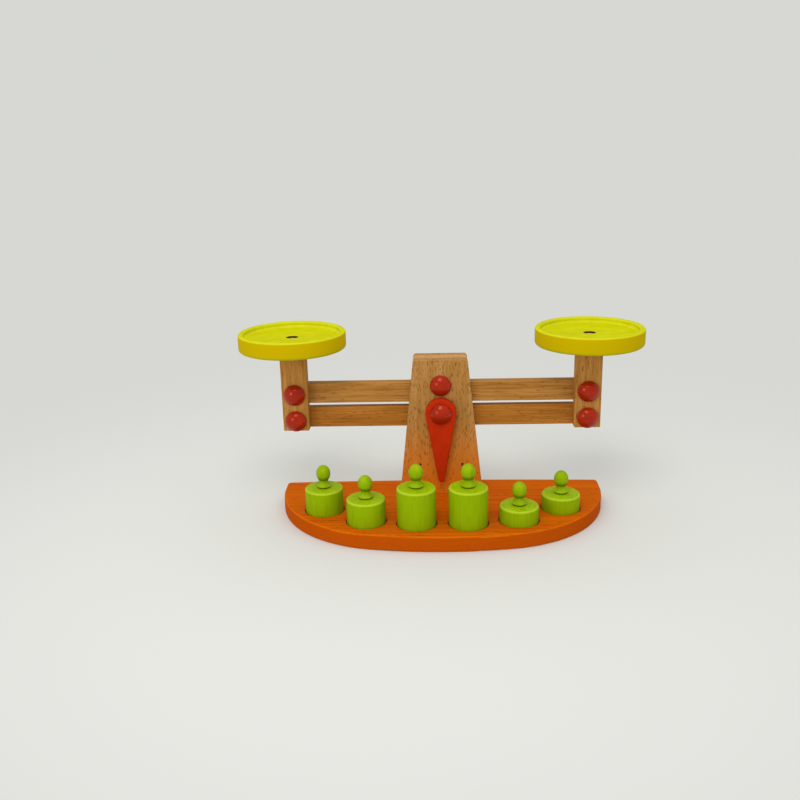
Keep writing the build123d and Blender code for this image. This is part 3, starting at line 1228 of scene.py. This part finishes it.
# Light green water stain on side grain: thin enough for upright streaks. The sides and the faces
# that point down are painted darker as shade, and the edges paler, as wear and as highlight
green_stain = painted_turning(
    "light_green_stained_beech",
    axis="Z",
    colour="#98B404",
    deep="#749006",
    light="#A2C00A",
    wall="#89A605",
    streak_size=(0.0026, 0.0026, 0.017),
    streak_share=0.6,
    gloss=0.45,
    sheen=0.03,
    tint="#F4FF9C",
    underside_shade=0.6,
    marks=0.3,
    wear_and_highlight=0.6,
    worn_highlit_edge="#B2C83A",
)

# The same stain on the knobs, a little darker, with painted shade on their sides and under the grip
knob_stain = painted_turning(
    "light_green_stained_knobs",
    axis="Z",
    colour="#8EAA08",
    deep="#6E8A0A",
    light="#98B60C",
    wall="#88A408",
    streak_size=(0.0024, 0.0024, 0.017),
    streak_share=0.6,
    gloss=0.4,
    sheen=0.06,
    tint="#F4FF9C",
    underside_shade=0.4,
    marks=0.4,
)


def eased(first, first_way, last, last_way, steps):
    """Stops on a smooth curve between two points of a profile, with its ways at both ends."""
    stops = []
    for i in range(1, steps + 1):
        t = i / steps
        shares = (2 * t**3 - 3 * t**2 + 1, t**3 - 2 * t**2 + t, 3 * t**2 - 2 * t**3, t**3 - t**2)
        ends = (first, first_way, last, last_way)
        r, z = (sum(share * end[k] for share, end in zip(shares, ends)) for k in (0, 1))
        stops.append((r, z, 0))
    return stops


tenon_radius, tenon_length = 3, 8
seat_radius, seat_depth, hole_radius, hole_depth = 4.5, 0.8, 3.03, 8.9
collar_radius, neck_radius, neck_height = 5.6, 3.6, 5.7
grip_radius, grip_foot, lower_reach = 5.55, 5.8, 7.1
low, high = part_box("knob_1")
grip_top = (high.z - low.z) / mm - tenon_length
grip_middle = (grip_top + grip_foot) / 2
knob_profile = [
    (0, -tenon_length, 0),
    (tenon_radius, -tenon_length, 0),
    (tenon_radius, 0, 0),
    (seat_radius, 0, 0),
    (seat_radius, seat_depth, 0),
    (collar_radius, 2, 0.3),
    (collar_radius, 2.5, 0.3),
]
neck = (neck_radius, neck_height)
knob_profile += eased((collar_radius, 2.5), (-2.4, 0.7), neck, (0, 3.4), 14)
knob_profile += eased(neck, (0, 1.5), (3.96, grip_middle - 5.08), (0.9, 1.1), 6)
grip = [(radians(4 * step), lower_reach) for step in range(-11, 1)]
grip += [(radians(3.75 * step), grip_top - grip_middle) for step in range(1, 25)]
for swell, reach in grip:
    knob_profile.append((grip_radius * cos(swell), grip_middle + reach * sin(swell), 0))

weight_radius, weight_rounding = 15, 2.0
for number in range(1, 7):
    low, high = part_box(f"weight_{number}")
    height = (high.z - low.z) / mm
    middle = Vector(((low.x + high.x) / 2, (low.y + high.y) / 2, low.z))
    weight_profile = [
        (0, 0, 0),
        (weight_radius, 0, weight_rounding),
        (weight_radius, height, weight_rounding),
        (seat_radius + 0.1, height, 0.1),
        (seat_radius + 0.1, height - seat_depth, 0),
        (hole_radius, height - seat_depth, 0),
        (hole_radius, height - hole_depth, 0),
        (0, height - hole_depth, 0),
    ]
    weight = turn(f"turned_weight_{number}", weight_profile, [middle], green_stain, segments=128)
    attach(weight, f"loose_weight_{number}")
    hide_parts(f"weight_{number}")
    seat = middle + Vector((0, 0, (height - seat_depth) * mm))
    knob = turn(f"turned_knob_{number}", knob_profile, [seat], knob_stain, segments=72)
    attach(knob, f"loose_weight_{number}")
    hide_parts(f"knob_{number}")

# Studio: a wide pale floor in a white room, one large soft lamp above the front and a smaller one
# low at the front left. What the camera or a glossy surface sees of the room, and of the floor
# far from the object, is the backdrop's own pale grey.
backdrop = "#D7D8D3"
world = bpy.data.worlds.new("white_room")
bpy.context.scene.world = world
world.use_nodes = True
sky = world.node_tree
sky.nodes.clear()
ray = node(sky, "ShaderNodeLightPath")
seen_or_mirrored = node(
    sky,
    "ShaderNodeMath",
    {0: ray.outputs["Is Camera Ray"], 1: ray.outputs["Is Glossy Ray"]},
    operation="ADD",
)
any_of_them = node(
    sky,
    "ShaderNodeMath",
    {0: seen_or_mirrored.outputs[0], 1: ray.outputs["Is Transmission Ray"]},
    operation="ADD",
    use_clamp=True,
)
room = node(sky, "ShaderNodeBackground", {"Color": (1, 1, 1, 1), "Strength": 0.88})
shown = node(sky, "ShaderNodeBackground", {"Color": hue(backdrop), "Strength": 1.0})
either = node(
    sky,
    "ShaderNodeMixShader",
    {0: any_of_them.outputs[0], 1: room.outputs[0], 2: shown.outputs[0]},
)
node(sky, "ShaderNodeOutputWorld", {"Surface": either.outputs[0]})

# Matt pale card, which keeps the object's shadow up to 0.2 m away and is backdrop from 0.6 m on
floor_radius, floor_steps = 9, 96
floor_mesh = bpy.data.meshes.new("pale_floor")
rim_angles = [2 * pi * i / floor_steps for i in range(floor_steps)]
rim = [(floor_radius * cos(a), floor_radius * sin(a), 0) for a in rim_angles]
floor_mesh.from_pydata(rim, [], [list(range(floor_steps))])
floor = bpy.data.objects.new("pale_floor", floor_mesh)
bpy.context.scene.collection.objects.link(floor)
floor_paint = bpy.data.materials.new("matt_pale_card")
floor_paint.use_nodes = True
tree = floor_paint.node_tree
tree.nodes.clear()
place = node(tree, "ShaderNodeTexCoord")
reach = node(tree, "ShaderNodeVectorMath", {0: place.outputs["Object"]}, operation="LENGTH")
far = node(
    tree,
    "ShaderNodeMapRange",
    {"Value": reach.outputs["Value"], "From Min": 0.2, "From Max": 0.6},
    interpolation_type="SMOOTHSTEP",
)
ray = node(tree, "ShaderNodeLightPath")
shown = node(
    tree,
    "ShaderNodeMath",
    {0: ray.outputs["Is Camera Ray"], 1: ray.outputs["Is Glossy Ray"]},
    operation="ADD",
    use_clamp=True,
)
fade = node(
    tree,
    "ShaderNodeMath",
    {0: far.outputs[0], 1: shown.outputs[0]},
    operation="MULTIPLY",
)
card = node(tree, "ShaderNodeBsdfDiffuse", {"Color": hue("#D8D9D4")})
tone = node(tree, "ShaderNodeEmission", {"Color": hue(backdrop), "Strength": 1.0})
either = node(
    tree,
    "ShaderNodeMixShader",
    {0: fade.outputs[0], 1: card.outputs[0], 2: tone.outputs[0]},
)
node(tree, "ShaderNodeOutputMaterial", {"Surface": either.outputs[0]})
floor_mesh.materials.append(floor_paint)

aim = Vector((0, -0.03, 0.08))
for name, spot, size, power in (
    ("large_soft_lamp", (-0.1, -0.78, 1.2), 0.6, 5.4),
    ("left_fill_lamp", (-0.7, -0.98, 0.34), 0.4, 2.0),
):
    lamp = bpy.data.lights.new(name, "AREA")
    lamp.size = size
    lamp.energy = power
    held = bpy.data.objects.new(name, lamp)
    bpy.context.scene.collection.objects.link(held)
    held.location = spot
    held.rotation_euler = (aim - Vector(spot)).to_track_quat("-Z", "Y").to_euler()

# Camera: a short telephoto view from the front, a little right of square on, looking down at the
# board by about 17 degrees and rolled by 1.4 degrees, as worked out from the photograph.
yaw, pitch, roll = radians(2.341), radians(16.732), radians(1.436)
stand_point = (-0.00449, -0.69923, 0.29999)
film_width, focal_pixels, frame_pixels = 36, 894.7, 800
ahead = Vector((-sin(yaw) * cos(pitch), cos(yaw) * cos(pitch), -sin(pitch)))
level = Vector((cos(yaw), sin(yaw), 0))
down = ahead.cross(level)
right = cos(roll) * level + sin(roll) * down
below = cos(roll) * down - sin(roll) * level
lens = bpy.data.cameras.new("front_camera")
lens.sensor_width = film_width
lens.lens = film_width * focal_pixels / frame_pixels
lens.clip_start, lens.clip_end = 0.01, 100
camera = bpy.data.objects.new("front_camera", lens)
bpy.context.scene.collection.objects.link(camera)
turned = Matrix((right, -below, -ahead)).transposed()
camera.matrix_world = Matrix.Translation(stand_point) @ turned.to_4x4()
bpy.context.scene.camera = camera
bpy.context.scene.view_settings.view_transform = "Standard"
